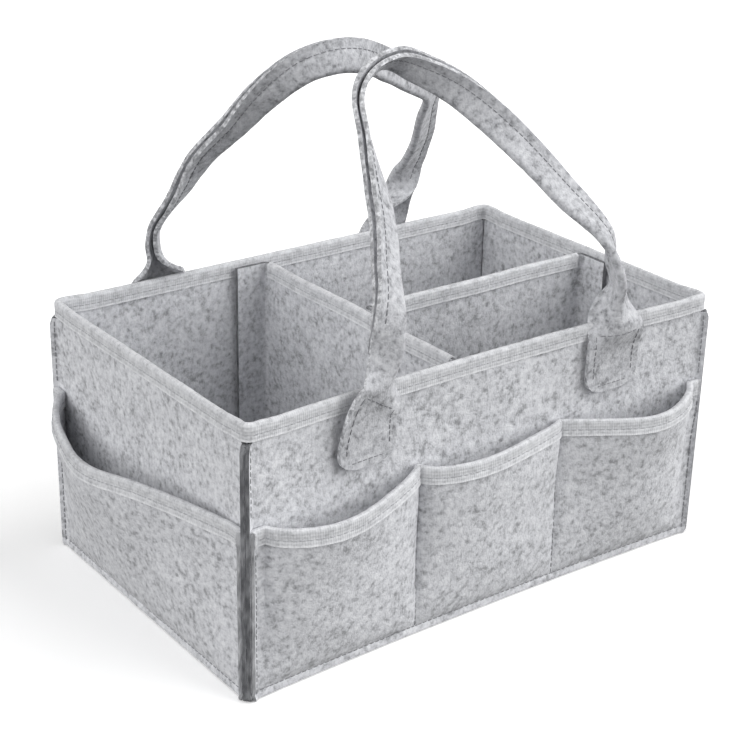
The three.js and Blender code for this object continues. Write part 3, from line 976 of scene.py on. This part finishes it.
def handle_rows(sheet):
    """Stitch rows of a handle: round each flat end, and along the folded strap through both layers."""
    run, edge = sheet.along[-1], sheet.across[-1]
    tab_length = fold_height - tab_foot
    tab_line = edge - tab_stitch
    tab_top = tab_length - 8
    strap_start = tab_length + 42
    upright_row = even_row(tab_stitch + 6, tab_top)
    level_row = even_row(-tab_line * 0.86, tab_line * 0.86)
    strap_row = even_row(strap_start, run - strap_start)
    rows = [stitches(sheet, strap_row, sign * (edge - strap_stitch)) for sign in (-1, 1)]
    for start, inward in ((0, 1), (run, -1)):
        rows += [stitches(sheet, start + inward * upright_row, sign * tab_line) for sign in (-1, 1)]
        rows += [stitches(sheet, start + inward * height, level_row) for height in (tab_stitch, tab_top)]
    return rows


# Dividers

def divider_plan(name, flap_axis):
    """Corners of a divider's plan along the middle of its felt: a flap, its length and the other flap."""
    low, high = box_mm(name)
    run_axis = 1 - flap_axis
    flap_end = low[flap_axis]
    turned = high[flap_axis] - divider_felt / 2
    start, end = low[run_axis] + divider_felt / 2, high[run_axis] - divider_felt / 2
    plan = np.array([(flap_end, start), (turned, start), (turned, end), (flap_end, end)])
    return plan[:, [flap_axis, run_axis]]


def divider_sheet(corners, low, high, seed):
    """Upright sheet with a turned flap at each end."""
    radius = 3.5
    flap_width = 34
    wave_length, wave_height, calm_edge = 110, 1.3, 50
    path = [corners[0]]
    for before, corner, after in zip(corners, corners[1:], corners[2:]):
        arrive, leave = unit(corner - before), unit(after - corner)
        centre = corner - arrive * radius + leave * radius
        for angle in np.linspace(0, math.pi / 2, 6):
            path.append(centre - leave * radius * math.cos(angle) + arrive * radius * math.sin(angle))
    path.append(corners[-1])
    along, plan = refined(np.array(path), felt_step)
    ups = stations(low, high - top_ease, felt_step)
    points = upright(plan, ups)
    sheet = Sheet(along, ups, points, divider_felt)
    from_end = np.minimum(along, along[-1] - along)
    free = smooth((from_end - flap_width) / calm_edge)[:, None]
    waves = ripple(points, wave_length, seed) * wave_height * free + fine_ripple(points, seed + 1, 0.12)
    return sheet.press(waves)


def divider_pieces(name, flap_axis, seed):
    """A divider, the tape over its top and their thread."""
    low, high = box_mm(name)
    corners = divider_plan(name, flap_axis)
    sheet = divider_sheet(corners, low[2], high[2], seed)
    piece = sheet.build(f"{name}_felt", divider_material, cut_edge_and_seam_shade, lifts_out=True)
    flap = np.linalg.norm(corners[1] - corners[0])
    straight = stations(flap + 3, sheet.along[-1] - flap - 3, 3)
    folded = tape_over(sheet, straight, high[2], rim_band)
    binding = folded.build(f"{name}_tape", rim_tape_material, lifts_out=True)
    rows = tape_rows(folded, even_row(straight[0] + 1, straight[-1] - 1))
    sewing = sewn(f"{name}_thread", rows, tape_thread, lifts_out=True)
    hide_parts(name)
    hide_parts(f"{name}_binding")
    for part in (piece, binding, sewing):
        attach(part, name)


def hook_piece(node, body):
    """Hook strip: a thin tape with rows of small loops standing on its outer face."""
    pitch = 1.9
    margin = 1.2
    low, high = box_mm(node)
    thin = int(np.argmin(high - low))
    wide = 1 - thin
    middle_body = np.mean(box_mm(body), axis=0)
    outward = 1 if (low[thin] + high[thin]) / 2 > middle_body[thin] else -1
    width = np.linspace(low[wide], high[wide], 7)
    ups = np.linspace(low[2], high[2], 29)
    grid = np.zeros((len(width), len(ups), 3))
    grid[..., thin] = low[thin] + hook_tape / 2 if outward > 0 else high[thin] - hook_tape / 2
    grid[..., wide] = width[:, None]
    grid[..., 2] = ups
    sheet = Sheet(width - width[0], ups - ups[0], grid, hook_tape)
    face = 1 if sheet.normal[0, 0, thin] * outward > 0 else -1
    piece = sheet.build(f"{node}_tape", hook_look, lifts_out=True)
    holes = np.arange(margin, sheet.across[-1] - 1, pitch)
    columns = np.arange(margin, sheet.along[-1] - 1, pitch)
    rows = [stitches(sheet, column, holes, face) for column in columns]
    loops = sewn(f"{node}_hooks", rows, hook_look, lifts_out=True, thick=hook_thread)
    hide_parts(node)
    for part in (piece, loops):
        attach(part, body)


# Assembly

def base_piece():
    x = stations(base_low[0], base_high[0], 9)
    y = stations(base_low[1], base_high[1], 9)
    points = np.stack(np.broadcast_arrays(x[:, None], y[None], base_high[2] / 2), -1)
    sheet = Sheet(x - x[0], y - y[0], points, base_high[2])
    piece = sheet.build("base_felt_panel", base_material, cut_edge_and_seam_shade)
    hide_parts("base_panel")
    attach(piece, "box")


def side_rows(side, wall, strip, foot_row):
    """Stitch rows of a side: along the feet, between its pockets and up its corner seams."""
    wall_ends = 12
    rows = [
        stitches(strip, foot_row, foot_stitch),
        stitches(wall, even_row(wall_ends, wall.along[-1] - wall_ends), foot_stitch, -1),
    ]
    plan = strip.at(strip.along, pocket_top / 2)[0]
    across = plan[:, 0] * math.cos(side.turn) + plan[:, 1] * math.sin(side.turn)
    between = even_row(foot_stitch, pocket_top - 3)
    for seam in pocket_edges(side)[1:-1]:
        rows.append(stitches(strip, np.interp(seam, across, strip.along), between))
    upper = even_row(pocket_top + 4, seam_top - 2) * (wall.across[-1] / seam_top)
    lower = even_row(4, pocket_top - 15)
    for sheet, heights in ((wall, upper), (strip, lower)):
        for place in (seam_stitch, sheet.along[-1] - seam_stitch):
            rows.append(stitches(sheet, place, heights))
    return rows


def side_pieces(side):
    """A side's wall, pocket strip, pocket tape and thread."""
    row_ends = 6.0
    tape_short = 0.4
    wall = wall_sheet(side)
    strip = pocket_sheet(side)
    along = strip.along[1:-1]
    tape_run = np.concatenate([[strip.along[0] + tape_short], along, [strip.along[-1] - tape_short]])
    mouth = tape_over(strip, tape_run, pocket_top, pocket_band)
    wall_piece = wall.build(f"{side.name}_wall_felt", wall_material, cut_edge_and_seam_shade)
    strip_piece = strip.build(f"{side.name}_pocket_felt", pocket_material, pocket_edge)
    mouth_piece = mouth.build(f"{side.name}_pocket_tape", rim_tape_material)
    foot_row = even_row(along[0] + row_ends, along[-1] - row_ends)
    sewing = sewn(f"{side.name}_side_thread", side_rows(side, wall, strip, foot_row), felt_thread)
    mouth_sewing = sewn(f"{side.name}_mouth_thread", tape_rows(mouth, foot_row), tape_thread)
    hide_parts(f"{side.name}_wall")
    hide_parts(f"{side.name}_pocket_panel")
    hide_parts(f"{side.name}_pocket_binding")
    for piece in (wall_piece, strip_piece, mouth_piece, sewing, mouth_sewing):
        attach(piece, "box")


def rim_pieces():
    """The tape over the rim and its thread."""
    line = rim_line()
    folded = tape_over(line, line.along, wall_top, rim_band)
    piece = folded.build("rim_tape", rim_tape_material)
    sewing = sewn("rim_thread", tape_rows(folded, even_row(0, folded.along[-1])), tape_thread)
    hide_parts("rim_binding")
    for part in (piece, sewing):
        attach(part, "box")


def handle_pieces(side, feet, arch, left_keys, right_keys, bulge):
    """A handle strip with its thread, sewn to the box at its ends, built at rest and baked in place."""
    body = f"{side.name}_handle"
    sheet = handle_sheet(side, feet, arch, left_keys, right_keys, bulge)
    piece = sheet.build(f"{body}_felt", shaded_handle_material, handle_edge)
    sewing = sewn(f"{body}_thread", handle_rows(sheet), felt_thread)
    for part in (piece, sewing):
        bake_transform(part)
    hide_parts(body, f"{body}_left_tab", f"{body}_right_tab")


base_piece()
for box_side in (front, right, back, left):
    side_pieces(box_side)
rim_pieces()
handle_pieces(front, front_feet, front_arch, front_left_foot, front_right_foot, bulge=1)
handle_pieces(back, back_feet, back_arch, back_left_foot, back_right_foot, bulge=0)
divider_pieces("cross_divider", flap_axis=0, seed=51)
divider_pieces("long_divider", flap_axis=1, seed=61)
for hook_node in sorted(frame["nodes"]):
    if hook_node.endswith("hook_strip"):
        hook_piece(hook_node, "cross_divider" if hook_node.startswith("cross") else "long_divider")


# Floor, light and camera

def floor():
    reach = 30.0
    below = 0.4
    corners = [(-reach, -reach, 0), (reach, -reach, 0), (reach, reach, 0), (-reach, reach, 0)]
    mesh = bpy.data.meshes.new("floor")
    mesh.from_pydata(corners, [], [(0, 1, 2, 3)])
    plane = scene_object("floor", mesh)
    plane.location.z = -below * MM
    shader = Shader("floor", roughness=1.0)
    uneven = shader.noise(shader.object_place(), 2, 1)
    shader.colour(uneven, (0.0, tone(252, 252, 252)), (1.0, tone(255, 255, 255)))
    shader.white_to_camera(glow=0.2, bounce=0.16)
    mesh.materials.append(shader.material)


def sky(level):
    """Soft white light of this level from all round, and a white background."""
    world = bpy.data.worlds.new("studio")
    bpy.context.scene.world = world
    world.use_nodes = True
    tree = world.node_tree
    light = tree.nodes["Background"]
    feed(tree, light, {"Color": (1, 1, 1, 1), "Strength": level})
    white = node_output(tree, "Background", {"Color": (1, 1, 1, 1), "Strength": 1.0}, 0)
    camera_mix(tree, light.outputs[0], white, "World Output")


def direction(azimuth, elevation):
    """Direction from the caddy to a place this far round from its front and this high, in degrees."""
    a, e = math.radians(azimuth), math.radians(elevation)
    return np.array([math.sin(a) * math.cos(e), -math.cos(a) * math.cos(e), math.sin(e)])


def looking(position, forward, roll=0.0):
    """Matrix of a camera or lamp at a place, looking along a direction."""
    forward = unit(forward)
    level_right = unit(np.cross(forward, [0, 0, 1.0]))
    level_up = np.cross(level_right, forward)
    right_way = math.cos(roll) * level_right + math.sin(roll) * level_up
    up_way = math.cos(roll) * level_up - math.sin(roll) * level_right
    columns = np.column_stack([right_way, up_way, -forward, position])
    return Matrix([*columns.tolist(), [0, 0, 0, 1]])


def lamp(name, azimuth, elevation, level):
    """A wide soft sun; level is what it adds to a surface that faces it."""
    data = bpy.data.lights.new(name, "SUN")
    data.angle = math.radians(75)
    data.energy = level * math.pi
    lamp_object = scene_object(name, data)
    away = direction(azimuth, elevation)
    lamp_object.matrix_world = looking(away, -away)


def camera():
    """The photo's camera, fitted to the box's corners. The photo's width and focal length are in pixels."""
    photo_width = 750
    focal_length = 1703.3
    place = np.array([-646.4, -842.8, 592.4])
    azimuth, elevation, roll = -37.19, 23.78, 1.31
    data = bpy.data.cameras.new("camera")
    data.sensor_width = 36
    data.lens = data.sensor_width * focal_length / photo_width
    view = scene_object("camera", data)
    view.matrix_world = looking(place * MM, -direction(azimuth, elevation), math.radians(roll))
    bpy.context.scene.camera = view


floor()
sky(0.29)
lamp("key", 52, 29, 1.08)
lamp("fill", -88, 25, 0.74)
camera()
bpy.context.scene.view_settings.view_transform = "Standard"
